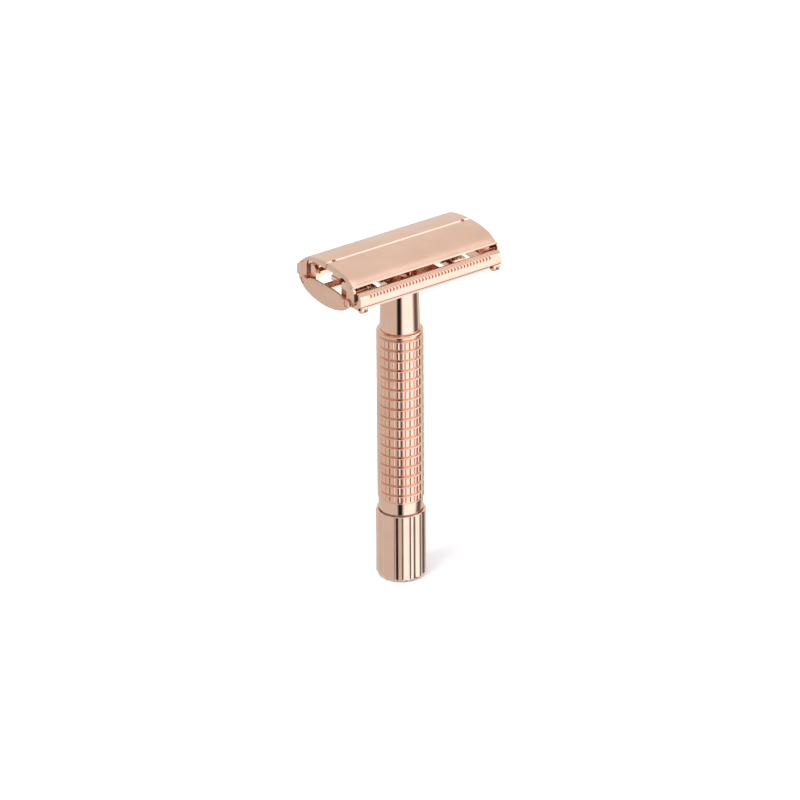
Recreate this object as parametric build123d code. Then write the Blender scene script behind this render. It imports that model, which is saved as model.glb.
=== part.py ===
from build123d import *
import math
import os

# Twist-to-open double-edge safety razor. Millimetres, +Z up, the knob's flat
# base on Z = 0 and the handle's axis on Z. X runs along the head, Y across it.

# ---------------------------------------------------------------- dimensions
ZG = 83.4            # height of the lower front edge of the guard bars

# knob
KNOB_R = 6.25
KNOB_H = 18.3
KNOB_FLUTES = 16
FLUTE_R = 3.0
FLUTE_IN = 2.79      # how far a flute's centre lies outside the knob's surface
KNOB_EDGE = 1.1
CAP_R = 4.4
CAP_Z0, CAP_Z1 = 0.25, 1.9
NUT_R = 4.4
NUT_Z0, NUT_Z1 = 5.5, 11.5

# lead screw: two-start coarse thread of elliptical section
LEAD = 3.2           # rise per turn
SCREW_A, SCREW_B = 2.1, 1.55
SCREW_GAP = 0.10
SCREW_Z0, SCREW_Z1 = 2.6, 12.4
LIFT = 4.0           # full travel of the rod
DOOR_OPEN = 75.0     # degrees

# collar and its stub inside the knob
COLLAR_R = 5.6
COLLAR_Z0, COLLAR_Z1 = 18.5, 21.8
STUB_R = 3.6
STUB_GAP = 0.08
STUB_Z0 = 12.6
CLIP_R = 4.15
CLIP_GROOVE_R = 3.15
CLIP_Z0, CLIP_Z1 = 14.1, 14.8
BORE_R = 2.45        # collar bore round the rod

# grip
GRIP_R = 5.83
GRIP_BORE = 4.0
GRIP_Z0, GRIP_Z1 = 21.8, 67.8
ROW_PITCH = 2.65
ROW_N = 17
ROW_TOP = 66.45      # first groove ring
COLUMNS = 28
RING_W, RING_D = 0.62, 0.55
COL_W, COL_D = 0.36, 0.42

# neck
NECK_R_LOW, NECK_R_TOP = 5.03, 4.65
NECK_UP_R = 4.3
NECK_UP_Z1 = ZG + 3.4
NECK_BORE = 2.6
NECK_UP_BORE = 3.3
BUSH_Z0, BUSH_Z1 = 58.0, 66.0
ROD_R = 1.5
ROD_GAP = 0.06

# base plate
BASE_L = 21.3
BASE_W = 10.95
BASE_Z0, BASE_Z1 = ZG - 0.9, ZG + 0.3
SLOT_X = ((7.85, 10.85), (15.75, 20.35))

# guard bars
BAR_L = 21.3
BAR_FRONT, BAR_BACK = 13.05, 10.95
TOOTH_PITCH = 0.97
TOOTH_N = 38
TOOTH_GAP = 0.36

# blade bed
BED_L, BED_W = 18.6, 4.4
BED_Z0 = ZG + 5.8

# saddle, end plates, pins
SADDLE_W = 1.5
SADDLE_Z0, SADDLE_Z1 = ZG + 0.6, ZG + 1.6
PLATE_X0, PLATE_X1 = 22.05, 22.70
PIVOT_Y, PIVOT_Z = 8.75, ZG + 0.2
PIN_R = 0.75
PIN_GAP = 0.05

# doors
DOOR_L = 21.95
DOOR_SEAM = 0.15
DOOR_W = 10.46
FLANGE_X0 = 21.40
DOOR_ROLL = 0.5


def cyl(r, z0, z1, x=0.0, y=0.0):
    return Pos(x, y, (z0 + z1) / 2) * Cylinder(r, z1 - z0)


def box(x0, x1, y0, y1, z0, z1):
    return Pos((x0 + x1) / 2, (y0 + y1) / 2, (z0 + z1) / 2) * Box(x1 - x0, y1 - y0, z1 - z0)


def prism_x(points, x0, x1):
    """A polygon of (y, z) points extruded along X from x0 to x1."""
    face = make_face(Polyline(*[(0, y, z) for y, z in points], close=True))
    return Pos(x0, 0, 0) * extrude(face, amount=x1 - x0, dir=(1, 0, 0))


def turned(points):
    """A closed (r, z) outline turned about Z."""
    face = make_face(Polyline(*[(r, 0, z) for r, z in points], close=True))
    return revolve(face, Axis.Z, 360)


def joined(shapes):
    out = shapes[0]
    for s in shapes[1:]:
        out = out + s
    return out


def mirror_y(s):
    return mirror(s, about=Plane.XZ)


def mirror_x(s):
    return mirror(s, about=Plane.YZ)


# ----------------------------------------------------------- twisted screw
def twisted(a, b, z0, z1):
    """Elliptical section turning once per LEAD, right-handed."""
    phase = 360.0 * z0 / LEAD
    section = (Plane((0, 0, z0)) * Rot(0, 0, phase) * make_face(Ellipse(a, b).wire())).face()
    out = Solid.extrude_linear_with_rotation(
        section, (0, 0, z0), (0, 0, z1 - z0), 360.0 * (z1 - z0) / LEAD
    )
    return out


# --------------------------------------------------------------------- knob
knob = cyl(KNOB_R, 0, KNOB_H)
knob = fillet(knob.edges().filter_by(GeomType.CIRCLE).sort_by(Axis.Z)[0], KNOB_EDGE)
knob = fillet(knob.edges().filter_by(GeomType.CIRCLE).sort_by(Axis.Z)[-1], 0.25)
flute = cyl(FLUTE_R, -1, KNOB_H + 1, KNOB_R + FLUTE_IN, 0)
knob -= [Rot(0, 0, 360.0 * i / KNOB_FLUTES + 1.25) * flute for i in range(KNOB_FLUTES)]
knob -= cyl(CAP_R, -1, NUT_Z1)
knob -= cyl(STUB_R + STUB_GAP, NUT_Z1 - 0.5, KNOB_H + 1)
knob -= cyl(CLIP_R + 0.12, CLIP_Z0 - 0.12, CLIP_Z1 + 0.12)
knob -= cyl(5.05, 18.1, KNOB_H + 1)

nut = cyl(NUT_R, NUT_Z0, NUT_Z1)
nut = chamfer(nut.edges().filter_by(GeomType.CIRCLE).sort_by(Axis.Z)[0], 0.3)
nut -= twisted(SCREW_A + SCREW_GAP, SCREW_B + SCREW_GAP, NUT_Z0 - 0.4, NUT_Z1 + 0.4)

cap = cyl(CAP_R, CAP_Z0, CAP_Z1)
cap -= cyl(2.6, CAP_Z0 - 1, CAP_Z0 + 0.25) - cyl(2.1, CAP_Z0 - 1, CAP_Z0 + 0.25)
cap = chamfer(cap.edges().filter_by(GeomType.CIRCLE).sort_by(SortBy.RADIUS)[-1], 0.15)

# ------------------------------------------------------- collar, clip, washer
collar = cyl(COLLAR_R, COLLAR_Z0, COLLAR_Z1)
collar = fillet(collar.edges().filter_by(GeomType.CIRCLE), 0.2)
collar += cyl(GRIP_BORE, COLLAR_Z1, COLLAR_Z1 + 6)
collar += cyl(STUB_R, STUB_Z0, COLLAR_Z0)
collar -= cyl(BORE_R, STUB_Z0 - 1, COLLAR_Z1 + 7)
collar -= cyl(STUB_R + 1, CLIP_Z0, CLIP_Z1) - cyl(CLIP_GROOVE_R, CLIP_Z0, CLIP_Z1)

clip = cyl(CLIP_R, CLIP_Z0, CLIP_Z1) - cyl(CLIP_GROOVE_R, CLIP_Z0 - 1, CLIP_Z1 + 1)
clip -= box(-0.9, 0.9, 0, CLIP_R + 1, CLIP_Z0 - 1, CLIP_Z1 + 1)

washer = cyl(4.85, 18.18, COLLAR_Z0) - cyl(3.75, 17, 19)

# --------------------------------------------------------------------- grip
grip = cyl(GRIP_R, GRIP_Z0, GRIP_Z1)
grip = fillet(grip.edges().filter_by(GeomType.CIRCLE).sort_by(Axis.Z)[-1], 0.7)
grip = fillet(grip.edges().filter_by(GeomType.CIRCLE).sort_by(Axis.Z)[0], 0.35)
rings = []
for i in range(ROW_N):
    z = ROW_TOP - i * ROW_PITCH
    rings.append(turned([(GRIP_R - RING_D, z - 0.12), (GRIP_R + 0.3, z - RING_W / 2 - 0.25),
                         (GRIP_R + 0.3, z + RING_W / 2 + 0.25), (GRIP_R - RING_D, z + 0.12)]))
z_lo = GRIP_Z0 + 0.5
column = extrude(make_face(Polyline((GRIP_R - COL_D, -0.06, z_lo), (GRIP_R + 0.2, -COL_W / 2 - 0.1, z_lo),
                                    (GRIP_R + 0.2, COL_W / 2 + 0.1, z_lo), (GRIP_R - COL_D, 0.06, z_lo),
                                    close=True)), amount=ROW_TOP - z_lo, dir=(0, 0, 1))
grip -= [Rot(0, 0, 360.0 * i / COLUMNS) * column for i in range(COLUMNS)]
grip -= rings
grip -= cyl(GRIP_BORE, GRIP_Z0 - 1, GRIP_Z1 + 1)

# --------------------------------------------------------------------- neck
neck = turned([(0, 57.4), (GRIP_BORE, 57.4), (GRIP_BORE, GRIP_Z1), (NECK_R_LOW, GRIP_Z1),
               (NECK_R_TOP, BASE_Z0), (NECK_UP_R, BASE_Z0), (NECK_UP_R, NECK_UP_Z1), (0, NECK_UP_Z1)])
neck -= cyl(NECK_BORE, 57, ZG + 1)
neck -= cyl(NECK_UP_BORE, ZG + 0.2, NECK_UP_Z1 + 1)
neck -= box(-6, 6, -SADDLE_W - 0.15, SADDLE_W + 0.15, ZG + 0.4, NECK_UP_Z1 + 1)

bush = cyl(NECK_BORE, BUSH_Z0, BUSH_Z1) - cyl(ROD_R + ROD_GAP, BUSH_Z0 - 1, BUSH_Z1 + 1)

# --------------------------------------------------------------- base plate
base = box(-BASE_L, BASE_L, -BASE_W, BASE_W, BASE_Z0, BASE_Z1)
base -= cyl(NECK_UP_R, BASE_Z0 - 1, BASE_Z1 + 1)
holes = []
for sx in (-1, 1):
    a, b = sorted((sx * SLOT_X[0][0], sx * SLOT_X[0][1]))
    for y0, y1 in ((2.2, 9.6), (-9.6, -2.2)):
        holes.append(box(a, b, y0, y1, BASE_Z0 - 1, BASE_Z1 + 1))
    a, b = sorted((sx * SLOT_X[1][0], sx * SLOT_X[1][1]))
    holes.append(box(a, b, -9.1, 9.1, BASE_Z0 - 1, BASE_Z1 + 1))
    a, b = sorted((sx * 12.6, sx * 16.9))
    for y0, y1 in ((6.6, 9.9), (-9.9, -6.6)):
        holes.append(box(a, b, y0, y1, BASE_Z0 - 1, BASE_Z1 + 1))
base -= [fillet(h.edges().filter_by(Axis.Z), 0.4) for h in holes]
# upright walls at the ends that hold the blade's corners
upright = prism_x([(5.2, BASE_Z1), (8.5, BASE_Z1), (8.5, ZG + 3.9), (7.6, ZG + 4.7), (5.9, ZG + 4.7),
                   (5.2, ZG + 4.0)], 20.45, BASE_L)
for s in (upright, mirror_y(upright), mirror_x(upright), mirror_x(mirror_y(upright))):
    base += s
# rests for the blade's corners, standing on the plate behind the guard bars
rest = box(17.3, BASE_L, 9.4, 10.5, BASE_Z1 - 0.1, ZG + 3.7)
for s in (rest, mirror_y(rest), mirror_x(rest), mirror_x(mirror_y(rest))):
    base += s
# a round stud on each side of the neck
base += [cyl(0.95, BASE_Z1 - 0.1, ZG + 1.3, 0, s * 6.1) for s in (1, -1)]
rivet_at = [(sx * 13.6, sy * 4.9) for sx in (-1, 1) for sy in (-1, 1)]
base -= [cyl(0.8, BASE_Z0 - 1, BASE_Z1 + 1, x, y) for x, y in rivet_at]

# --------------------------------------------------------------- guard bars
bar = prism_x([(BAR_BACK, ZG - 0.9), (BAR_BACK, ZG + 3.22), (BAR_BACK + 0.2, ZG + 3.4), (11.55, ZG + 3.43),
               (12.0, ZG + 3.31), (12.4, ZG + 3.1), (12.8, ZG + 2.84), (BAR_FRONT, ZG + 2.5), (BAR_FRONT, ZG + 0.35), (12.75, ZG), (12.2, ZG),
               (12.0, ZG - 0.9)], -BAR_L, BAR_L)
teeth = []
for i in range(TOOTH_N):
    x = -0.2 + (i - (TOOTH_N - 1) / 2) * TOOTH_PITCH
    teeth.append(box(x - TOOTH_GAP / 2, x + TOOTH_GAP / 2, 12.34, 13.5, ZG + 2.16, ZG + 4))
bar -= teeth
foot = prism_x([(11.3, ZG - 0.9), (12.0, ZG - 0.9), (12.2, ZG), (12.85, ZG), (12.95, ZG - 0.7), (12.5, ZG - 1.6),
                (11.6, ZG - 1.6)], 19.0, 20.9)
foot = foot + box(19.0, 20.9, 11.3, 12.0, ZG - 1.4, ZG - 0.5)
bar += [foot, mirror_x(foot)]
bar -= [Pos(s * 19.95, 13.0, ZG - 1.05) * Rot(90, 0, 0) * Cylinder(0.42, 1.0) for s in (-1, 1)]
guard_rear = bar
guard_front = mirror_y(bar)

# ---------------------------------------------------------------- blade bed
bed_top = [(-BED_W, ZG + 6.18), (-2.2, ZG + 6.32), (2.2, ZG + 6.32), (BED_W, ZG + 6.18)]
bed = prism_x([(-BED_W, BED_Z0 - 0.02), *bed_top, (BED_W, BED_Z0 - 0.02)], -BED_L, BED_L)
bed += box(-17.4, 17.4, -0.45, 0.45, ZG + 6.2, ZG + 6.62)
leg = prism_x([(2.6, BED_Z0 + 0.1), (2.6, BASE_Z1), (6.2, BASE_Z1), (6.2, BASE_Z1 + 0.7), (3.4, BASE_Z1 + 0.7),
               (3.4, BED_Z0 + 0.1)], 11.6, 15.6)
for s in (leg, mirror_y(leg), mirror_x(leg), mirror_x(mirror_y(leg))):
    bed += s
bed -= [cyl(0.8, BASE_Z1 - 0.5, BASE_Z1 + 2, x, y) for x, y in rivet_at]

rivets = []
for x, y in rivet_at:
    r = cyl(0.8, BASE_Z0, BASE_Z1 + 0.7, x, y) + cyl(1.25, BASE_Z1 + 0.7, BASE_Z1 + 1.15, x, y)
    r += cyl(1.25, BASE_Z0 - 0.4, BASE_Z0, x, y)
    rivets.append(r)

# ----------------------------------------------------- rod, saddle, end plates
rod = cyl(ROD_R, SCREW_Z1 - 0.3, SADDLE_Z0) + cyl(1.0, SADDLE_Z0, SADDLE_Z1)
rod += cyl(1.55, SCREW_Z1 - 0.5, SCREW_Z1 + 0.6)
rod += twisted(SCREW_A, SCREW_B, SCREW_Z0, SCREW_Z1)

saddle = box(-PLATE_X0, PLATE_X0, -SADDLE_W, SADDLE_W, SADDLE_Z0, SADDLE_Z1) + cyl(2.9, SADDLE_Z0, SADDLE_Z1)
saddle -= cyl(1.0, SADDLE_Z0 - 1, SADDLE_Z1 + 1)

half = [(0, ZG + 2.05), (2.6, ZG + 2.0), (4.6, ZG + 1.88), (6.3, ZG + 1.62), (7.15, ZG + 1.05), (7.65, ZG + 0.98)]
lobe = [(PIVOT_Y + 1.08 * math.cos(math.radians(a)), PIVOT_Z + 1.08 * math.sin(math.radians(a)))
        for a in (128, 105, 80, 55, 30, 5, -20, -42)]
under = [(8.6, ZG - 1.45), (7.42, ZG - 2.1), (5.0, ZG - 2.85), (2.5, ZG - 3.3), (0, ZG - 3.42)]
outline = half + lobe + under
outline = outline + [(-y, z) for y, z in reversed(outline[1:-1])]
plate = prism_x(outline, PLATE_X0, PLATE_X1)
plate = chamfer(plate.faces().sort_by(Axis.X)[-1].edges(), 0.12)
plate -= [Pos(22.4, s * PIVOT_Y, PIVOT_Z) * Rot(0, 90, 0) * Cylinder(PIN_R, 2) for s in (-1, 1)]
plate_right = plate
plate_left = mirror_x(plate)

pins = []
for sx in (-1, 1):
    for sy in (-1, 1):
        a, b = sorted((sx * 21.38, sx * 22.58))
        p = Pos((a + b) / 2, sy * PIVOT_Y, PIVOT_Z) * Rot(0, 90, 0) * Cylinder(PIN_R, b - a)
        pins.append(p)

# -------------------------------------------------------------------- doors
top_pts = [(DOOR_SEAM, ZG + 7.56), (3.5, ZG + 7.41), (6.2, ZG + 6.97), (8.4, ZG + 6.2), (DOOR_W, ZG + 4.80)]
low_pts = [(9.75, ZG + 4.50), (8.0, ZG + 5.62), (6.0, ZG + 6.27), (3.4, ZG + 6.70), (DOOR_SEAM, ZG + 6.84)]
top_curve = Spline(*[(0, y, z) for y, z in top_pts], tangents=[(0, 1, 0), (0, 0.72, -0.69)])
low_curve = Spline(*[(0, y, z) for y, z in low_pts], tangents=[(0, -0.78, 0.62), (0, -1, 0)])
block_wire = Wire([top_curve, *Polyline((0, DOOR_W, ZG + 4.80), (0, DOOR_W, ZG + 4.41), (0, DOOR_SEAM, ZG + 4.41),
                                        (0, DOOR_SEAM, ZG + 7.56)).edges()])
door = Pos(-DOOR_L, 0, 0) * extrude(make_face(block_wire), amount=2 * DOOR_L, dir=(1, 0, 0))
# the ends roll over into the end flanges
ends = [e for e in door.edges() if e.geom_type == GeomType.BSPLINE]
door = fillet(ends, DOOR_ROLL)
inner_wire = Wire([low_curve, *Polyline((0, DOOR_SEAM, ZG + 6.84), (0, DOOR_SEAM - 1, ZG + 6.84),
                                        (0, DOOR_SEAM - 1, ZG + 4), (0, 9.75, ZG + 4), (0, 9.75, ZG + 4.50)).edges()])
door -= Pos(-FLANGE_X0, 0, 0) * extrude(make_face(inner_wire), amount=2 * FLANGE_X0, dir=(1, 0, 0))
# below the seam the flange is only a shallow band
window = prism_x([(-1, ZG + 6.05), (6.6, ZG + 6.05), (7.4, ZG + 5.8), (7.85, ZG + 5.2), (7.95, ZG + 4), (-1, ZG + 4)],
                 FLANGE_X0 - 0.5, DOOR_L + 1)
door -= [window, mirror_x(window)]
# ear that reaches down to the pivot
ear = prism_x([(7.95, ZG + 4.9), (DOOR_W, ZG + 4.62), (10.95, ZG + 4.3), (11.2, ZG + 3.85), (11.2, ZG + 1.4),
               (10.85, ZG + 0.6), (PIVOT_Y + 1.02, PIVOT_Z - 0.2), (PIVOT_Y + 0.72, PIVOT_Z - 0.75),
               (PIVOT_Y, PIVOT_Z - 1.03), (PIVOT_Y - 0.72, PIVOT_Z - 0.75), (PIVOT_Y - 1.02, PIVOT_Z),
               (PIVOT_Y - 0.75, PIVOT_Z + 0.9), (8.15, ZG + 2.4)], FLANGE_X0, DOOR_L)
ear -= Pos(21.7, PIVOT_Y, PIVOT_Z) * Rot(0, 90, 0) * Cylinder(PIN_R + PIN_GAP, 3)
door += [ear, mirror_x(ear)]
notch = cyl(0.55, ZG + 5, ZG + 9, 19.43, 0.1)
door -= [notch, mirror_x(notch)]
door_rear = door
door_front = mirror_y(door)

# ------------------------------------------------------------------- output
nodes = {
    "knob_shell": knob,
    "knob_nut": nut,
    "knob_end_cap": cap,
    "lower_collar": collar,
    "knob_clip": clip,
    "spring_washer": washer,
    "knurled_grip": grip,
    "neck_tube": neck,
    "guide_bush": bush,
    "base_plate": base,
    "guard_bar_front": guard_front,
    "guard_bar_rear": guard_rear,
    "blade_bed": bed,
    "bed_rivets": Compound(rivets),
    "inner_rod": rod,
    "saddle_bar": saddle,
    "end_plate_left": plate_left,
    "end_plate_right": plate_right,
    "door_pins": Compound(pins),
    "door_front": door_front,
    "door_rear": door_rear,
}
os.makedirs("parts", exist_ok=True)
for name, shape in nodes.items():
    export_step(shape, "parts/" + name + ".step")
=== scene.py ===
import math

import bmesh
import bpy
import numpy as np
from mathutils import Matrix, Vector


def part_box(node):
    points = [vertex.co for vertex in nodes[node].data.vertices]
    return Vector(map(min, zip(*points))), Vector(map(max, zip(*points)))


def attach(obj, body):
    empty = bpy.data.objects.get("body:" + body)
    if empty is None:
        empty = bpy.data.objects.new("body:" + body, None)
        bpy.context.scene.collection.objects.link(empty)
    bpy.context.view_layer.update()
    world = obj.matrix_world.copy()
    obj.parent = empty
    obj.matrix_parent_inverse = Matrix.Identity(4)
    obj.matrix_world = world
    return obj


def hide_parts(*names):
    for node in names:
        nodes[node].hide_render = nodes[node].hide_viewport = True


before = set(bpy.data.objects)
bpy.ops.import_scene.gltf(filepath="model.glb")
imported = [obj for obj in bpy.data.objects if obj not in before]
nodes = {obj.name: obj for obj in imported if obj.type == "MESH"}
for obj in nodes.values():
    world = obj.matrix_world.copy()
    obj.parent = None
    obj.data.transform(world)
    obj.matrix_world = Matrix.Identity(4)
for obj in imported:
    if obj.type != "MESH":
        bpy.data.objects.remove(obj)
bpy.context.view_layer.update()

MM = 0.001

# ------------------------------------------------------------ key positions
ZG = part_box("guard_bar_front")[1].z * 1000 - 3.43      # lower front edge of the guard bars, mm
PIVOT_Y, PIVOT_Z = 8.75, ZG + 0.2


# ---------------------------------------------------------------- mesh tools
def new_object(name, verts, faces, smooth=40.0):
    """verts in mm. Returns a linked object with smooth shading up to an angle."""
    me = bpy.data.meshes.new(name)
    me.from_pydata([(x * MM, y * MM, z * MM) for x, y, z in verts], [], faces)
    me.validate()
    ob = bpy.data.objects.new(name, me)
    bpy.context.scene.collection.objects.link(ob)
    bm = bmesh.new()
    bm.from_mesh(me)
    bmesh.ops.remove_doubles(bm, verts=bm.verts, dist=1e-7)
    bmesh.ops.recalc_face_normals(bm, faces=bm.faces)
    bm.to_mesh(me)
    bm.free()
    if smooth is not None:
        shade(ob, smooth)
    return ob


def shade(ob, angle):
    me = ob.data
    me.polygons.foreach_set("use_smooth", [True] * len(me.polygons))
    me.set_sharp_from_angle(angle=math.radians(angle))


def lathe(name, outline, n, mod=None, smooth=40.0, phase=0.0):
    """outline: (r, z, weight) in mm, closed on itself or ending on the axis at both ends.
    mod(theta, z) is how far the surface moves inwards, times weight."""
    verts, faces = [], []
    rings = []
    for r, z, w in outline:
        if r < 1e-6:
            rings.append([len(verts)])
            verts.append((0, 0, z))
            continue
        ring = []
        for i in range(n):
            t = 2 * math.pi * i / n + phase
            rr = r - (w * mod(t, z) if mod and w else 0.0)
            ring.append(len(verts))
            verts.append((rr * math.cos(t), rr * math.sin(t), z))
        rings.append(ring)
    closed = len(rings[0]) > 1 and len(rings[-1]) > 1
    pairs = list(zip(rings[:-1], rings[1:])) + ([(rings[-1], rings[0])] if closed else [])
    for a, b in pairs:
        for i in range(n):
            j = (i + 1) % n
            if len(a) == 1:
                faces.append((a[0], b[j], b[i]))
            elif len(b) == 1:
                faces.append((a[i], a[j], b[0]))
            else:
                faces.append((a[i], a[j], b[j], b[i]))
    return new_object(name, verts, faces, smooth)


def arc(cx, cz, r, a0, a1, n, w=0.0):
    return [(cx + r * math.cos(math.radians(a0 + (a1 - a0) * i / n)),
             cz + r * math.sin(math.radians(a0 + (a1 - a0) * i / n)), w) for i in range(n + 1)]


def sweep_x(name, profiles, smooth=35.0):
    """profiles: list of (x, [(y, z), ...]) with the same number of points each; closed with end caps."""
    verts, faces, m = [], [], len(profiles[0][1])
    for x, pts in profiles:
        verts += [(x, y, z) for y, z in pts]
    for k in range(len(profiles) - 1):
        for i in range(m):
            j = (i + 1) % m
            faces.append((k * m + i, k * m + j, (k + 1) * m + j, (k + 1) * m + i))
    faces.append(tuple(range(m - 1, -1, -1)))
    faces.append(tuple((len(profiles) - 1) * m + i for i in range(m)))
    return new_object(name, verts, faces, smooth)


def slab_x(name, pts, x0, x1, bevel=0.0, segments=3, smooth=35.0):
    """A (y, z) outline with thickness along X, its face edges bevelled."""
    ob = sweep_x(name, [(x0, pts), (x1, pts)], None)
    if bevel:
        bevel_mesh(ob, bevel, segments, 50)
    shade(ob, smooth)
    return ob


def bevel_mesh(ob, width, segments=3, angle=40):
    m = ob.modifiers.new("bevel", "BEVEL")
    m.width, m.segments, m.limit_method = width * MM, segments, "ANGLE"
    m.angle_limit = math.radians(angle)
    m.use_clamp_overlap = True
    apply_all(ob)


def apply_all(ob):
    bpy.context.view_layer.update()
    dg = bpy.context.evaluated_depsgraph_get()
    me = bpy.data.meshes.new_from_object(ob.evaluated_get(dg))
    old = ob.data
    ob.modifiers.clear()
    ob.data = me
    me.name = old.name
    bpy.data.meshes.remove(old)


def boolean(ob, other, op, keep=False):
    m = ob.modifiers.new("bool", "BOOLEAN")
    m.operation, m.object, m.solver = op, other, "EXACT"
    apply_all(ob)
    if not keep:
        bpy.data.objects.remove(other)


def rod_mesh(name, centre, axis, r, half, n=48):
    """A plain closed cylinder, mm."""
    axis = Vector(axis).normalized()
    u = axis.orthogonal().normalized()
    v = axis.cross(u)
    c = Vector(centre)
    verts, faces = [], []
    for s in (-1, 1):
        for i in range(n):
            t = 2 * math.pi * i / n
            verts.append(tuple(c + axis * half * s + (u * math.cos(t) + v * math.sin(t)) * r))
    for i in range(n):
        j = (i + 1) % n
        faces.append((i, j, n + j, n + i))
    faces.append(tuple(range(n - 1, -1, -1)))
    faces.append(tuple(range(n, 2 * n)))
    return new_object(name, verts, faces, None)


def mirrored(ob, name, axis):
    me = ob.data.copy()
    me.name = name
    m = Matrix.Scale(-1, 4, axis)
    me.transform(m)
    me.flip_normals()
    out = bpy.data.objects.new(name, me)
    bpy.context.scene.collection.objects.link(out)
    shade(out, 35)
    return out


def smoothstep(a, b, x):
    t = min(1.0, max(0.0, (x - a) / (b - a)))
    return t * t * (3 - 2 * t)


def catmull(points, n):
    """Points on a smooth curve through the given (y, z) points, n to a span."""
    p = [np.array(q, float) for q in points]
    p = [2 * p[0] - p[1]] + p + [2 * p[-1] - p[-2]]
    out = []
    for i in range(1, len(p) - 2):
        for k in range(n):
            t = k / n
            out.append(0.5 * ((2 * p[i]) + (-p[i - 1] + p[i + 1]) * t
                              + (2 * p[i - 1] - 5 * p[i] + 4 * p[i + 1] - p[i + 2]) * t * t
                              + (-p[i - 1] + 3 * p[i] - 3 * p[i + 1] + p[i + 2]) * t ** 3))
    out.append(p[-2])
    return [tuple(q) for q in out]


# ------------------------------------------------------------------ materials
class Mat:
    """A node material with a few helpers."""

    def __init__(self, name):
        self.m = bpy.data.materials.new(name)
        self.m.use_nodes = True
        self.nt = self.m.node_tree
        self.nt.nodes.clear()
        self.out = self.nt.nodes.new("ShaderNodeOutputMaterial")
        self.b = self.nt.nodes.new("ShaderNodeBsdfPrincipled")
        self.nt.links.new(self.b.outputs[0], self.out.inputs[0])
        self.tc = self.nt.nodes.new("ShaderNodeTexCoord")

    def n(self, kind, **kw):
        node = self.nt.nodes.new(kind)
        for k, v in kw.items():
            setattr(node, k, v)
        return node

    def link(self, a, b):
        self.nt.links.new(a, b)

    def mapped(self, scale=(1, 1, 1), rot=(0, 0, 0), src=None):
        mp = self.n("ShaderNodeMapping")
        mp.inputs["Scale"].default_value = scale
        mp.inputs["Rotation"].default_value = rot
        self.link(src or self.tc.outputs["Object"], mp.inputs["Vector"])
        return mp.outputs[0]

    def noise(self, scale, detail=3.0, rough=0.5, vec=None):
        t = self.n("ShaderNodeTexNoise")
        t.inputs["Scale"].default_value = scale
        t.inputs["Detail"].default_value = detail
        t.inputs["Roughness"].default_value = rough
        self.link(vec or self.tc.outputs["Object"], t.inputs["Vector"])
        return t.outputs["Fac"]

    def ramp(self, fac, stops):
        r = self.n("ShaderNodeValToRGB")
        e = r.color_ramp.elements
        e[0].position, e[0].color = stops[0][0], (*stops[0][1], 1)
        e[1].position, e[1].color = stops[-1][0], (*stops[-1][1], 1)
        for p, c in stops[1:-1]:
            x = e.new(p)
            x.color = (*c, 1)
        self.link(fac, r.inputs[0])
        return r.outputs[0]

    def span(self, fac, lo, hi, a=0.0, b=1.0):
        r = self.n("ShaderNodeMapRange")
        r.inputs["From Min"].default_value = a
        r.inputs["From Max"].default_value = b
        r.inputs["To Min"].default_value = lo
        r.inputs["To Max"].default_value = hi
        self.link(fac, r.inputs["Value"])
        return r.outputs[0]

    def math(self, op, a, b):
        x = self.n("ShaderNodeMath", operation=op)
        for i, v in enumerate((a, b)):
            if isinstance(v, (int, float)):
                x.inputs[i].default_value = v
            else:
                self.link(v, x.inputs[i])
        return x.outputs[0]

    def mix(self, fac, a, b):
        x = self.n("ShaderNodeMix", data_type="RGBA")
        for key, v in ((0, fac), (6, a), (7, b)):
            if isinstance(v, (int, float)):
                x.inputs[key].default_value = v
            elif isinstance(v, tuple):
                x.inputs[key].default_value = (*v, 1)
            else:
                self.link(v, x.inputs[key])
        return x.outputs[2]

    def bump(self, height, strength, distance, normal=None):
        x = self.n("ShaderNodeBump")
        x.inputs["Strength"].default_value = strength
        x.inputs["Distance"].default_value = distance
        self.link(height, x.inputs["Height"])
        if normal is not None:
            self.link(normal, x.inputs["Normal"])
        return x.outputs[0]


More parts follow.
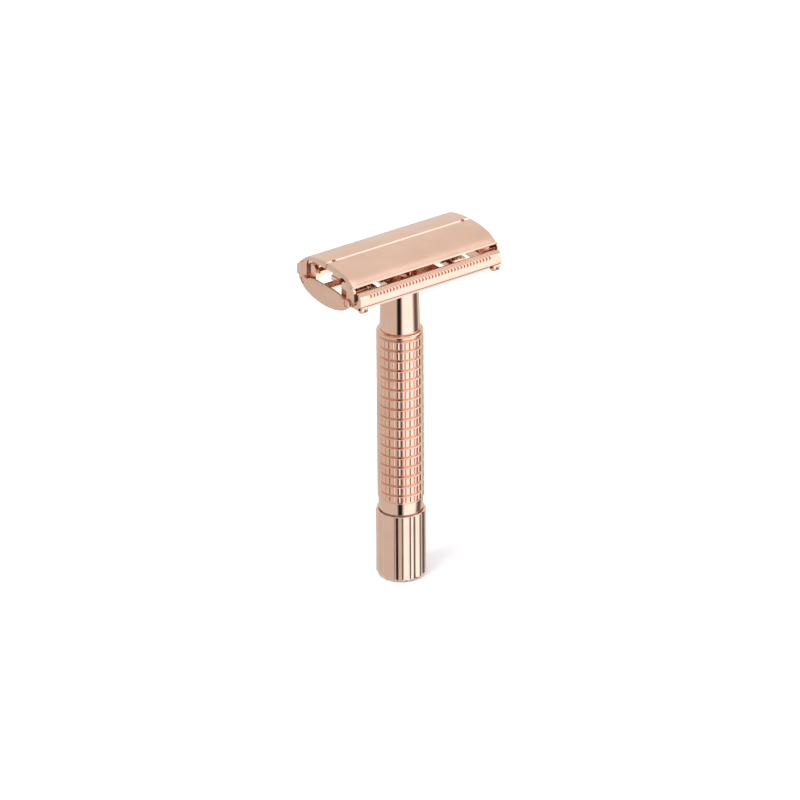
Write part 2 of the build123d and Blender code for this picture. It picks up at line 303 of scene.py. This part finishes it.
def metal(name, base, light, deep, rough, brushed=None, brush_strength=0.25, wear=0.35, crevice_painted_shade=False, grain=0.05):
    """Plated metal: tone drift, fine directional or random scratches, smudges in the gloss,
    brighter worn edges and, where asked, painted shade in the grooves: a darker, more saturated tone in the hollows
    standing in for shade and double reflections."""
    k = Mat(name)
    k.b.inputs["Metallic"].default_value = 1.0
    drift = k.noise(90.0, 4.0, 0.55)
    tone = k.ramp(drift, [(0.30, deep), (0.52, base), (0.74, light)])
    geo = k.n("ShaderNodeNewGeometry")
    edge = k.span(geo.outputs["Pointiness"], 0.0, wear, 0.52, 0.60)
    spots = k.noise(900.0, 5.0, 0.7)
    worn = k.math("MULTIPLY", edge, k.span(spots, 0.4, 1.0, 0.35, 0.6))
    tone = k.mix(worn, tone, tuple(min(1.0, c * 1.12 + 0.03) for c in light))
    # painted shade: hollows (low pointiness) get a darker, more saturated tone that stands in for the shade and double
    # reflections in grooves
    if crevice_painted_shade:
        groove_painted_shade = k.span(geo.outputs["Pointiness"], 1.0, 0.0, 0.38, 0.5)
        tone = k.mix(k.math("MULTIPLY", groove_painted_shade, 0.9), tone, tuple(c * s for c, s in zip(deep, (0.52, 0.30, 0.22))))
    k.link(tone, k.b.inputs["Base Color"])
    smudge = k.noise(160.0, 6.0, 0.6)
    hair = k.noise(1.0, 3.0, 0.6, k.mapped((400.0, 6500.0, 6500.0) if brushed != "Z" else (6500.0, 6500.0, 300.0)))
    r = k.span(smudge, rough * 0.75, rough * 1.3, 0.3, 0.7)
    if brushed:
        r = k.math("ADD", r, k.span(hair, -0.05, 0.07, 0.3, 0.7))
    r = k.math("ADD", r, k.math("MULTIPLY", worn, 0.06))
    k.link(r, k.b.inputs["Roughness"])
    if brushed:
        fine = k.noise(1.0, 2.0, 0.5, k.mapped((900.0, 16000.0, 16000.0) if brushed != "Z" else (16000.0, 16000.0, 700.0)))
        h = k.math("ADD", k.math("MULTIPLY", hair, 0.6), k.math("MULTIPLY", fine, 0.4))
        nrm = k.bump(h, brush_strength, 0.00002)
    else:
        micro = k.noise(3500.0, 4.0, 0.6)
        nrm = k.bump(micro, grain, 0.00001)
    nrm = k.bump(drift, 0.012, 0.00006, nrm)
    k.link(nrm, k.b.inputs["Normal"])
    return k.m


ROSE = (0.83, 0.555, 0.42)
ROSE_L = (0.86, 0.59, 0.455)
ROSE_D = (0.80, 0.52, 0.385)
polished = metal("rose_gold_polished", ROSE, ROSE_L, ROSE_D, 0.10, wear=0.25, grain=0.03)
satin = metal("rose_gold_satin", ROSE, ROSE_L, ROSE_D, 0.20, brushed="X", brush_strength=0.07)
satin_end = metal("rose_gold_satin_end", ROSE, ROSE_L, ROSE_D, 0.27, brushed="Z", brush_strength=0.16)
turned = metal("rose_gold_turned", ROSE, ROSE_L, ROSE_D, 0.09, brushed="Z", brush_strength=0.05)
# knurl and inner parts: painted shade darkens their grooves
knurl = metal("rose_gold_knurl", (0.84, 0.53, 0.39), (0.88, 0.58, 0.44), (0.80, 0.47, 0.33), 0.10, wear=0.4, crevice_painted_shade=True)
inner = metal("rose_gold_inner", (0.86, 0.58, 0.45), (0.89, 0.62, 0.49), (0.83, 0.53, 0.39), 0.15, crevice_painted_shade=True)
steel = metal("bright_steel", (0.56, 0.56, 0.57), (0.64, 0.64, 0.65), (0.46, 0.46, 0.47), 0.24, brushed="Z", brush_strength=0.15)
brass = metal("bare_brass", (0.72, 0.52, 0.22), (0.80, 0.60, 0.30), (0.60, 0.42, 0.16), 0.26, brushed="Z", brush_strength=0.15)


def dress(ob, mat):
    ob.data.materials.clear()
    ob.data.materials.append(mat)
    return ob


def place(ob, body, replaced, mat):
    dress(ob, mat)
    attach(ob, body)
    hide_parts(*replaced)
    return ob


# --------------------------------------------------------------------- grip
GRIP_R, GRIP_BORE, GRIP_Z0, GRIP_Z1 = 5.83, 4.0, 21.8, 67.8
ROW_PITCH, ROW_N, ROW_TOP, COLUMNS = 2.65, 17, 66.45, 28
ROW_LOW = ROW_TOP - (ROW_N - 1) * ROW_PITCH


def groove(d, half, flat, depth):
    """Depth of a rounded V groove at distance d from its middle."""
    d = abs(d)
    if d <= flat:
        return depth
    if d >= half:
        return 0.0
    t = (d - flat) / (half - flat)
    return depth * (1 - t) ** 1.25


def knurl_depth(theta, z):
    row = min(abs(z - (ROW_TOP - i * ROW_PITCH)) for i in range(ROW_N))
    ring = groove(row, 0.40, 0.08, 0.50)
    if z > ROW_TOP + 0.02:
        return ring
    pitch = 2 * math.pi / COLUMNS
    d = ((theta / pitch + 0.5) % 1.0 - 0.5) * pitch * GRIP_R
    col = groove(d, 0.20, 0.03, 0.13)
    return max(ring, col)


zs = [GRIP_Z0 + 0.35]
offs = [0.0, 0.10, 0.17, 0.25, 0.34, 0.42, 0.50, 0.62, 0.9, 1.325]
edges = set()
for i in range(ROW_N):
    zc = ROW_TOP - i * ROW_PITCH
    for o in offs:
        edges.add(round(zc + o, 4))
        edges.add(round(zc - o, 4))
edges |= {GRIP_Z0 + 0.42, GRIP_Z0 + 0.8}
edges = sorted(e for e in edges if GRIP_Z0 + 0.4 < e < GRIP_Z1 - 0.72)
outline = [(GRIP_BORE, GRIP_Z0, 0)]
outline += [(GRIP_BORE, GRIP_Z1, 0)]
outline += [(GRIP_R - 0.75, GRIP_Z1, 0)]
outline += arc(GRIP_R - 0.7, GRIP_Z1 - 0.7, 0.7, 90, 0, 9)
outline += [(GRIP_R, z, 1.0) for z in reversed(edges)]
outline += arc(GRIP_R - 0.35, GRIP_Z0 + 0.35, 0.35, 0, -90, 5)
N_GRIP = COLUMNS * 12
grip = lathe("grip_knurled", outline, N_GRIP, knurl_depth, smooth=60, phase=0.0)
place(grip, "handle", ["knurled_grip"], knurl)

# --------------------------------------------------------------------- knob
KNOB_R, KNOB_H, FLUTES, PHASE = 6.25, 18.3, 16, math.radians(1.25)


def flute_depth(theta, z):
    """Wide shallow scallops with narrow lands between them."""
    pitch = 2 * math.pi / FLUTES
    d = ((theta - PHASE) / pitch + 0.5) % 1.0 - 0.5
    d = abs(d) * pitch * KNOB_R
    return 0.21 * (1 - (d / 0.93) ** 2) if d < 0.93 else 0.0


prof = [(4.40, 0.0, 0), (4.40, 2.0, 0), (4.40, 11.5, 0), (3.68, 11.5, 0), (3.68, 18.1, 0), (5.05, 18.1, 0),
        (5.05, 18.25, 0), (5.10, 18.3, 0), (5.90, 18.3, 0.0)]
prof += [(r, z, w) for (r, z, _), w in zip(arc(KNOB_R - 0.25, KNOB_H - 0.25, 0.25, 90, 0, 8),
                                           (0.2, 0.4, 0.6, 0.75, 0.85, 0.95, 1, 1, 1))]
prof += [(KNOB_R, z, 1.0) for z in (16.5, 14.0, 11.0, 8.0, 5.0, 3.0, 2.0)]
prof += [(r, z, w) for (r, z, _), w in zip(arc(KNOB_R - 1.1, 1.1, 1.1, 0, -90, 10),
                                           (1, 1, 1, 0.95, 0.88, 0.78, 0.62, 0.45, 0.28, 0.1, 0))]
knob = lathe("knob_fluted", prof, FLUTES * 24, flute_depth, smooth=50, phase=PHASE)
place(knob, "knob", ["knob_shell"], turned)

# ------------------------------------------------------------ collar and neck
col = [(2.45, 12.6, 0), (3.5, 12.6, 0), (3.6, 12.7, 0), (3.6, 14.1, 0), (3.15, 14.1, 0), (3.15, 14.8, 0),
       (3.6, 14.8, 0), (3.6, 18.5, 0), (5.38, 18.5, 0)]
col += arc(5.6 - 0.2, 18.5 + 0.2, 0.2, -80, 0, 6)
col += arc(5.6 - 0.2, 21.8 - 0.2, 0.2, 0, 90, 6)
col += [(4.0, 21.8, 0), (4.0, 27.8, 0), (2.45, 27.8, 0)]
collar = lathe("collar_turned", col, 128, smooth=40)
place(collar, "handle", ["lower_collar"], polished)

BASE_Z0 = ZG - 0.9
neck_low = [(2.6, 57.4, 0), (4.0, 57.4, 0), (4.0, 67.8, 0), (4.97, 67.8, 0), (5.02, 67.86, 0)]
neck_low += [(5.02 + (4.65 - 5.02) * t, 67.88 + (BASE_Z0 - 67.88) * t, 0) for t in (0.25, 0.5, 0.75, 1.0)]
neck_low += [(4.3, BASE_Z0, 0), (4.3, ZG + 0.35, 0), (3.3, ZG + 0.35, 0), (3.3, ZG + 0.2, 0), (2.6, ZG + 0.2, 0)]
neck = lathe("neck_turned", neck_low, 160, smooth=40)
# the two cheeks of the neck on either side of the saddle's slot
n_arc = 48
half_slot = 1.65
cheeks = []
for s in (1, -1):
    verts, faces = [], []
    a_out = math.asin(half_slot / 4.3)
    a_in = math.asin(half_slot / 3.3)
    for zz in (ZG + 0.30, ZG + 3.25, ZG + 3.4):
        ro = 4.3 if zz < ZG + 3.3 else 4.18
        ri = 3.3
        for r, a in ((ro, a_out), (ri, a_in)):
            for i in range(n_arc + 1):
                t = a + (math.pi - 2 * a) * i / n_arc
                verts.append((r * math.cos(t), s * r * math.sin(t), zz))
    m = n_arc + 1
    for lvl in range(2):
        o0, i0 = lvl * 2 * m, lvl * 2 * m + m
        o1, i1 = o0 + 2 * m, i0 + 2 * m
        for i in range(n_arc):
            faces.append((o0 + i, o0 + i + 1, o1 + i + 1, o1 + i))
            faces.append((i0 + i + 1, i0 + i, i1 + i, i1 + i + 1))
        faces.append((i0, o0, o1, i1))
        faces.append((o0 + n_arc, i0 + n_arc, i1 + n_arc, o1 + n_arc))
    top = 2 * 2 * m
    for i in range(n_arc):
        faces.append((i, i + 1, m + i + 1, m + i)[::-1])
        faces.append((top + i, top + i + 1, top + m + i + 1, top + m + i))
    ck = new_object("cheek", verts, faces, 40)
    cheeks.append(ck)
for ck in cheeks:
    boolean(neck, ck, "UNION")
shade(neck, 40)
place(neck, "handle", ["neck_tube"], polished)

# -------------------------------------------------------------------- doors
DOOR_L, SEAM, DOOR_W, FLANGE_X0, ROLL, THICK = 21.95, 0.15, 10.46, 21.40, 0.62, 0.62
top = catmull([(SEAM, ZG + 7.56), (1.8, ZG + 7.53), (3.5, ZG + 7.41), (6.2, ZG + 6.97), (8.4, ZG + 6.2),
               (DOOR_W - 0.05, ZG + 4.86)], 7)


def normals(pts):
    out = []
    for i in range(len(pts)):
        a = pts[max(0, i - 1)]
        b = pts[min(len(pts) - 1, i + 1)]
        dy, dz = b[0] - a[0], b[1] - a[1]
        d = math.hypot(dy, dz)
        out.append((-dz / d, dy / d))     # pointing up and outwards
    return out


nrm_top = normals(top)


def door_section(inset):
    """Closed (y, z) outline of the cap plate with its outer surface moved in by inset."""
    outer = [(y - ny * inset, z - nz * inset) for (y, z), (ny, nz) in zip(top, nrm_top)]
    outer[0] = (SEAM, outer[0][1])
    inn = [(y - ny * THICK, z - nz * THICK) for (y, z), (ny, nz) in zip(top, nrm_top)]
    inn[0] = (SEAM, inn[0][1])
    # seam edge slightly rounded
    s0 = outer[0]
    seam = [(SEAM, s0[1] - 0.28), (SEAM + 0.025, s0[1] - 0.24), (SEAM + 0.20, s0[1] - 0.045), (SEAM + 0.225, s0[1] - 0.02)]
    if inset > THICK * 0.6:
        seam = [(SEAM, s0[1] - 0.02), (SEAM + 0.02, s0[1] - 0.01), (SEAM + 0.04, s0[1] - 0.004), (SEAM + 0.08, s0[1] - 0.001)]
    lip = [(DOOR_W - 0.005, ZG + 4.72), (DOOR_W, ZG + 4.62), (DOOR_W, ZG + 4.46), (DOOR_W - 0.05, ZG + 4.41),
           (9.9, ZG + 4.43)]
    if inset > 0:
        lip = [(y - inset * 0.25, z - 0.0) for y, z in lip]
    keep = [p for p in inn if p[0] < 9.35]
    return seam + outer[1:] + lip + keep[::-1]


profiles = []
for i in range(7):
    a = math.radians(90 * (1 - i / 6.0))
    profiles.append((-(DOOR_L - ROLL + ROLL * math.sin(a)), door_section(min(ROLL * (1 - math.cos(a)), THICK - 0.05))))
n_mid = 24
for i in range(1, n_mid):
    profiles.append((-(DOOR_L - ROLL) + 2 * (DOOR_L - ROLL) * i / n_mid, door_section(0.0)))
profiles += [(-x, p) for x, p in reversed(profiles[:7])]
door = sweep_x("cap_door", profiles, None)

drop = [(y - ny * ROLL, z - nz * ROLL) for (y, z), (ny, nz) in zip(top, nrm_top)]
drop[0] = (SEAM, drop[0][1])
drop = [p for p in drop if p[0] < 9.7]
lobe = [(PIVOT_Y + 1.03 * math.cos(math.radians(a)), PIVOT_Z + 1.03 * math.sin(math.radians(a)))
        for a in range(-10, -181, -10)]
ear_out = [(10.02, ZG + 4.72), (10.6, ZG + 4.46), (10.95, ZG + 4.24), (11.12, ZG + 4.02), (11.2, ZG + 3.75), (11.2, ZG + 1.7),
           (11.13, ZG + 1.25), (10.9, ZG + 0.75), (10.4, ZG + 0.35)]
inner_edge = [(PIVOT_Y - 0.98, PIVOT_Z + 0.45), (PIVOT_Y - 0.85, PIVOT_Z + 0.9), (8.08, ZG + 1.7), (8.12, ZG + 2.4),
              (8.02, ZG + 4.6), (7.9, ZG + 5.2), (7.65, ZG + 5.6), (7.3, ZG + 5.86), (6.8, ZG + 6.01),
              (6.2, ZG + 6.05), (SEAM, ZG + 6.05)]
flange_pts = drop + ear_out + lobe + inner_edge
for s in (1, -1):
    a, b = sorted((s * FLANGE_X0, s * DOOR_L))
    fl = sweep_x("flange", [(a, flange_pts), (b, flange_pts)], None)
    boolean(door, fl, "UNION")
for s in (1, -1):
    boolean(door, rod_mesh("cut", (s * 21.7, PIVOT_Y, PIVOT_Z), (1, 0, 0), 0.80, 2.0), "DIFFERENCE")
    boolean(door, rod_mesh("cut", (s * 19.43, 0.10, ZG + 7), (0, 0, 1), 0.55, 2.0), "DIFFERENCE")
shade(door, 32)
door.name = "cap_door_rear"
front = mirrored(door, "cap_door_front", Vector((0, 1, 0)))
shade(front, 32)
place(door, "rear_door", ["door_rear"], satin)
place(front, "front_door", ["door_front"], satin)

# --------------------------------------------------------------- guard bars
BAR_L, BACK, FRONT = 21.3, 10.95, 13.05
TOOTH_PITCH, TOOTH_N, TOOTH_GAP = 0.97, 38, 0.36
full = [(BACK, ZG - 0.9), (BACK, ZG + 1.2), (BACK, ZG + 3.22), (BACK + 0.05, ZG + 3.32), (BACK + 0.2, ZG + 3.40),
        (11.55, ZG + 3.43), (11.8, ZG + 3.37), (12.1, ZG + 3.26), (12.33, ZG + 3.13), (12.5, ZG + 3.03),
        (12.75, ZG + 2.87), (12.93, ZG + 2.69), (13.01, ZG + 2.56), (13.05, ZG + 2.42), (13.05, ZG + 2.24),
        (13.05, ZG + 2.0), (13.05, ZG + 1.2), (13.05, ZG + 0.5), (13.01, ZG + 0.28), (12.9, ZG + 0.1),
        (12.74, ZG + 0.01), (12.45, ZG), (12.2, ZG), (12.1, ZG - 0.06), (12.05, ZG - 0.3), (12.0, ZG - 0.9)]
cut = {8: (12.36, ZG + 3.09), 9: (12.38, ZG + 2.75), 10: (12.41, ZG + 2.45), 11: (12.48, ZG + 2.3), 12: (12.64, ZG + 2.24),
       13: (12.88, ZG + 2.19), 14: (13.03, ZG + 2.1)}
notched = [cut.get(i, p) for i, p in enumerate(full)]


def bar_profile(w):
    return [(a[0] + (b[0] - a[0]) * w, a[1] + (b[1] - a[1]) * w) for a, b in zip(full, notched)]


profs = [(-BAR_L, bar_profile(0)), (-BAR_L + 0.05, bar_profile(0)), (-BAR_L + 1.2, bar_profile(0))]
for i in range(TOOTH_N):
    xc = -0.2 + (i - (TOOTH_N - 1) / 2) * TOOTH_PITCH
    h = TOOTH_GAP / 2
    for dx, w in ((-h - 0.16, 0), (-h - 0.07, 0.04), (-h - 0.02, 0.22), (-h + 0.02, 0.75), (-h + 0.06, 0.97), (0, 1),
                  (h - 0.06, 0.97), (h - 0.02, 0.75), (h + 0.02, 0.22), (h + 0.07, 0.04), (h + 0.16, 0)):
        profs.append((xc + dx, bar_profile(w)))
profs += [(BAR_L - 1.2, bar_profile(0)), (BAR_L - 0.05, bar_profile(0)), (BAR_L, bar_profile(0))]
bar = sweep_x("guard_rear", profs, None)
foot_pts = [(11.35, ZG - 0.6), (11.35, ZG - 1.25), (11.45, ZG - 1.48), (11.7, ZG - 1.6), (12.3, ZG - 1.6),
            (12.62, ZG - 1.5), (12.82, ZG - 1.2), (12.92, ZG - 0.75), (12.88, ZG - 0.25), (12.8, ZG + 0.06), (11.9, ZG + 0.06)]
for s in (1, -1):
    a, b = sorted((s * 19.0, s * 20.9))
    foot = slab_x("foot", foot_pts, a, b, 0.16, 3)
    boolean(bar, foot, "UNION")
    boolean(bar, rod_mesh("cut", (s * 19.95, 13.2, ZG - 0.75), (0, 1, -0.25), 0.34, 0.75, 24), "DIFFERENCE")
shade(bar, 38)
barf = mirrored(bar, "guard_front", Vector((0, 1, 0)))
shade(barf, 38)
place(bar, "handle", ["guard_bar_rear"], polished)
place(barf, "handle", ["guard_bar_front"], polished)

# --------------------------------------------------------------- end plates
half = catmull([(0, ZG + 2.05), (2.6, ZG + 2.0), (4.6, ZG + 1.88), (5.9, ZG + 1.70), (6.6, ZG + 1.40), (7.1, ZG + 1.05),
                (7.55, ZG + 0.92)], 4)
lobe2 = [(PIVOT_Y + 1.07 * math.cos(math.radians(a)), PIVOT_Z + 1.07 * math.sin(math.radians(a)))
         for a in range(130, -46, -10)]
under = catmull([(9.15, ZG - 0.95), (8.4, ZG - 1.52), (7.42, ZG - 2.06), (5.0, ZG - 2.85), (2.5, ZG - 3.28), (0, ZG - 3.42)], 4)
right_side = half + lobe2 + under[1:]
outline2 = right_side + [(-y, z) for y, z in reversed(right_side[1:-1])]
plate = slab_x("end_plate_r", outline2, 22.05, 22.70, 0.13, 3)
for s in (1, -1):
    boolean(plate, rod_mesh("cut", (22.5, s * PIVOT_Y, PIVOT_Z), (1, 0, 0), 0.76, 1.0, 40), "DIFFERENCE")
shade(plate, 35)
plate_l = mirrored(plate, "end_plate_l", Vector((1, 0, 0)))
place(plate, "carriage", ["end_plate_right"], satin_end)
place(plate_l, "carriage", ["end_plate_left"], satin_end)

# rivet heads of the pivot pins, each a domed pin with a centre mark
for sx, tag in ((1, "r"), (-1, "l")):
    for sy, tg in ((1, "rear"), (-1, "front")):
        pts = [(0.0, 0.0), (0.30, 0.0), (0.75, 0.0), (0.75, 1.05), (0.72, 1.14), (0.6, 1.19), (0.34, 1.2),
               (0.28, 1.14), (0.2, 1.05), (0.0, 1.02)]
        verts, faces, rings = [], [], []
        for r, h in pts:
            if r == 0:
                rings.append([len(verts)])
                verts.append((sx * (21.38 + h), sy * PIVOT_Y, PIVOT_Z))
            else:
                ring = []
                for i in range(36):
                    t = 2 * math.pi * i / 36
                    ring.append(len(verts))
                    verts.append((sx * (21.38 + h), sy * PIVOT_Y + r * math.cos(t), PIVOT_Z + r * math.sin(t)))
                rings.append(ring)
        for a, b in zip(rings[:-1], rings[1:]):
            for i in range(36):
                j = (i + 1) % 36
                if len(a) == 1:
                    faces.append((a[0], b[i], b[j]))
                elif len(b) == 1:
                    faces.append((a[i], a[j], b[0]))
                else:
                    faces.append((a[i], a[j], b[j], b[i]))
        pin = new_object(f"pivot_pin_{tag}_{tg}", verts, faces, 40)
        place(pin, "carriage", ["door_pins"], turned)

# ------------------------------------------------------- carried-over pieces
for name, mat in {"base_plate": inner, "blade_bed": inner, "bed_rivets": inner, "saddle_bar": inner,
                  "guide_bush": brass, "knob_nut": brass, "knob_clip": steel, "spring_washer": steel,
                  "inner_rod": steel, "knob_end_cap": turned}.items():
    ob = nodes[name]
    ob.data.materials.clear()
    ob.data.materials.append(mat)

# -------------------------------------------------------------- floor, lights
def area(name, loc, target, size, size_y, power, color=(1, 1, 1)):
    d = bpy.data.lights.new(name, "AREA")
    d.shape, d.size, d.size_y, d.energy, d.color = "RECTANGLE", size, size_y, power, color
    o = bpy.data.objects.new(name, d)
    bpy.context.scene.collection.objects.link(o)
    o.location = loc
    o.rotation_mode = "QUATERNION"
    o.rotation_quaternion = (Vector(target) - Vector(loc)).to_track_quat("-Z", "Y")
    return o


fm = bpy.data.meshes.new("floor")
S = 3.0
fm.from_pydata([(-S, -S, 0), (S, -S, 0), (S, S, 0), (-S, S, 0)], [], [(0, 1, 2, 3)])
floor = bpy.data.objects.new("floor", fm)
bpy.context.scene.collection.objects.link(floor)
floor.location.z = -0.0001
fl = Mat("floor_white")
fl.b.inputs["Roughness"].default_value = 0.9
fl.b.inputs["Specular IOR Level"].default_value = 0.1
fl.link(fl.ramp(fl.noise(6.0, 2.0), [(0.3, (0.90, 0.90, 0.90)), (0.7, (0.92, 0.92, 0.92))]), fl.b.inputs["Base Color"])
fm.materials.append(fl.m)

floor.visible_glossy = False

# The studio: white and grey panels round the object, stated as brightness by compass angle.
# psi is measured from the side the picture is taken from, positive to that side's right.
world = bpy.data.worlds.new("studio")
bpy.context.scene.world = world
world.use_nodes = True
wt = world.node_tree
bg = wt.nodes["Background"]


def wnode(kind, **kw):
    node = wt.nodes.new(kind)
    for k, v in kw.items():
        setattr(node, k, v)
    return node


def wmath(op, a, b=0.0):
    x = wnode("ShaderNodeMath", operation=op)
    for i, v in enumerate((a, b)):
        if isinstance(v, (int, float)):
            x.inputs[i].default_value = v
        else:
            wt.links.new(v, x.inputs[i])
    return x.outputs[0]


SCALE = 2.0
PANELS = [(-180, 0.75), (-20, 0.75), (-12, 0.02), (5, 0.02), (20, 1.6), (75, 1.6), (90, 0.3), (100, 0.15),
          (115, 0.15), (130, 0.8), (180, 0.75)]
UPPER = [(-180, 0.9), (-100, 0.7), (-40, 0.7), (65, 1.1), (75, 1.8), (100, 1.8), (110, 0.9), (180, 0.9)]


def panel_ramp(stops, fac):
    r = wnode("ShaderNodeValToRGB")
    e = r.color_ramp.elements
    pts = [((p + 180) / 360.0, v / SCALE) for p, v in stops]
    e[0].position, e[1].position = 0.0, 1.0
    for el, (p, v) in ((e[0], pts[0]), (e[1], pts[-1])):
        el.color = (v, v, v, 1)
    for p, v in pts[1:-1]:
        el = e.new(p)
        el.color = (v, v, v * (1.0 if v < 0.5 else 1.10), 1)
    wt.links.new(fac, r.inputs[0])
    return r.outputs[0]


wtc = wnode("ShaderNodeTexCoord")
wsep = wnode("ShaderNodeSeparateXYZ")
wt.links.new(wtc.outputs["Generated"], wsep.inputs[0])
ang = wmath("ARCTAN2", wsep.outputs[1], wsep.outputs[0])
psi = wmath("ADD", wmath("DIVIDE", ang, 2 * math.pi), 126.75 / 360.0 + 0.5)
psi = wmath("FRACT", psi)
low_band = panel_ramp(PANELS, psi)
up_band = panel_ramp(UPPER, psi)
wmr = wnode("ShaderNodeMapRange")
wmr.inputs["From Min"].default_value = -0.12
wmr.inputs["From Max"].default_value = 0.10
wt.links.new(wsep.outputs[2], wmr.inputs["Value"])
wmx = wnode("ShaderNodeMix", data_type="RGBA")
wt.links.new(wmr.outputs[0], wmx.inputs[0])
wt.links.new(low_band, wmx.inputs[6])
wt.links.new(up_band, wmx.inputs[7])
wt.links.new(wmx.outputs[2], bg.inputs[0])
bg.inputs[1].default_value = SCALE

C = Vector((0, 0, 0.03))
for nm, loc, sx_, sy_, p in (("key", (-0.45, -0.05, 0.65), 0.35, 0.35, 4.0), ("top", (0.0, 0.1, 0.9), 0.5, 0.5, 1.5)):
    area(nm, loc, C, sx_, sy_, p).visible_glossy = False

# ------------------------------------------------------------------- camera
AZ, EL, ROLLDEG, DIST = math.radians(36.7495), math.radians(26.2313), math.radians(-0.3521), 1200.0
S_PX, U0, V0 = 4.11395, 399.433, 268.7015
f = S_PX * DIST
right = Vector((math.cos(AZ), -math.sin(AZ), 0))
fh = Vector((math.sin(AZ), math.cos(AZ), 0))
fwd = fh * math.cos(EL) - Vector((0, 0, 1)) * math.sin(EL)
up = right.cross(fwd)
r2 = right * math.cos(ROLLDEG) + up * math.sin(ROLLDEG)
u2 = -right * math.sin(ROLLDEG) + up * math.cos(ROLLDEG)
O = Vector((0, 0, ZG))
pos = O - (r2 * ((U0 - 400) / f * DIST) + u2 * (-(V0 - 400) / f * DIST) + fwd * DIST)
cam_d = bpy.data.cameras.new("camera")
cam_d.sensor_width = 36.0
cam_d.lens = f / 800.0 * 36.0
cam_d.clip_start, cam_d.clip_end = 0.05, 20.0
cam = bpy.data.objects.new("camera", cam_d)
bpy.context.scene.collection.objects.link(cam)
m = Matrix((r2, u2, -fwd)).transposed().to_4x4()
cam.matrix_world = Matrix.Translation(pos * MM) @ m
bpy.context.scene.camera = cam
bpy.context.scene.view_settings.view_transform = "Standard"
